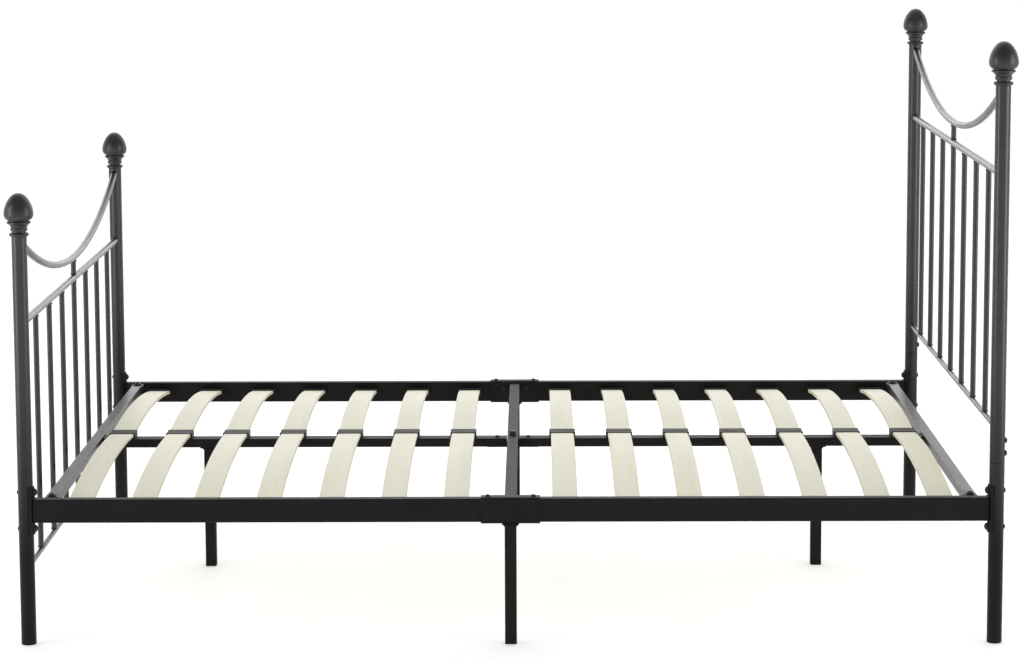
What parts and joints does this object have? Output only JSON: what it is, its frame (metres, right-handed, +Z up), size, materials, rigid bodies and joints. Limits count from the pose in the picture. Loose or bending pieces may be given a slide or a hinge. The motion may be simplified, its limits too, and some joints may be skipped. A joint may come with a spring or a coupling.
{
  "type": "metal bed frame",
  "caption": "Double bed frame of round and square steel tube, with arched headboard and footboard, turned finials and bowed slats",
  "frame": {"origin": "centre of the bed on the floor", "axes": "+X to the headboard, +Y to the left side seen from the foot, +Z up"},
  "size_m": [2.1018, 1.4918, 1.2678],
  "materials": {
    "powder_coat": "black satin powder coat on steel tube",
    "cast_finial": "black satin coat on a turned finial",
    "black_fastener": "black phosphated steel bolts",
    "birch_slat": "pale birch plywood slats, lacquered",
    "black_plastic": "black moulded plastic"
  },
  "bodies": {
    "root": {"beam_bolts": "black_fastener", "beam_cradle": "powder_coat", "beam_end_clips": "black_plastic", "beam_leg_footboard": "powder_coat", "beam_leg_headboard": "powder_coat", "centre_beam_footboard": "powder_coat", "centre_beam_headboard": "powder_coat", "crossbar": "powder_coat", "end_rail_bolts": "black_fastener", "end_rail_footboard": "powder_coat", "end_rail_headboard": "powder_coat", "footboard_bottom_rail": "powder_coat", "footboard_finial_left": "cast_finial", "footboard_finial_right": "cast_finial", "footboard_post_left": "powder_coat", "footboard_post_right": "powder_coat", "footboard_spindles": "powder_coat", "footboard_stub": "powder_coat", "footboard_swag": "powder_coat", "footboard_top_rail": "powder_coat", "headboard_bottom_rail": "powder_coat", "headboard_finial_left": "cast_finial", "headboard_finial_right": "cast_finial", "headboard_leg_left": "powder_coat", "headboard_leg_right": "powder_coat", "headboard_post_left": "powder_coat", "headboard_post_right": "powder_coat", "headboard_spindles": "powder_coat", "headboard_stub": "powder_coat", "headboard_swag": "powder_coat", "headboard_top_rail": "powder_coat", "joiner_bolts": "black_fastener", "leg_foot_caps": "black_plastic", "leg_joint_screws": "black_fastener", "post_bolts": "black_fastener", "post_foot_caps": "black_plastic", "rail_joiner_left": "powder_coat", "rail_joiner_right": "powder_coat", "rail_leg_left": "powder_coat", "rail_leg_right": "powder_coat", "side_rail_footboard_left": "powder_coat", "side_rail_footboard_right": "powder_coat", "side_rail_headboard_left": "powder_coat", "side_rail_headboard_right": "powder_coat", "slat_centre_caps": "black_plastic", "slat_end_holders": "black_plastic", "slat_row_01": "birch_slat", "slat_row_02": "birch_slat", "slat_row_03": "birch_slat", "slat_row_04": "birch_slat", "slat_row_05": "birch_slat", "slat_row_06": "birch_slat", "slat_row_07": "birch_slat", "slat_row_08": "birch_slat", "slat_row_09": "birch_slat", "slat_row_10": "birch_slat", "slat_row_11": "birch_slat", "slat_row_12": "birch_slat", "slat_row_13": "birch_slat", "slat_row_14": "birch_slat"}
  },
  "joints": []
}
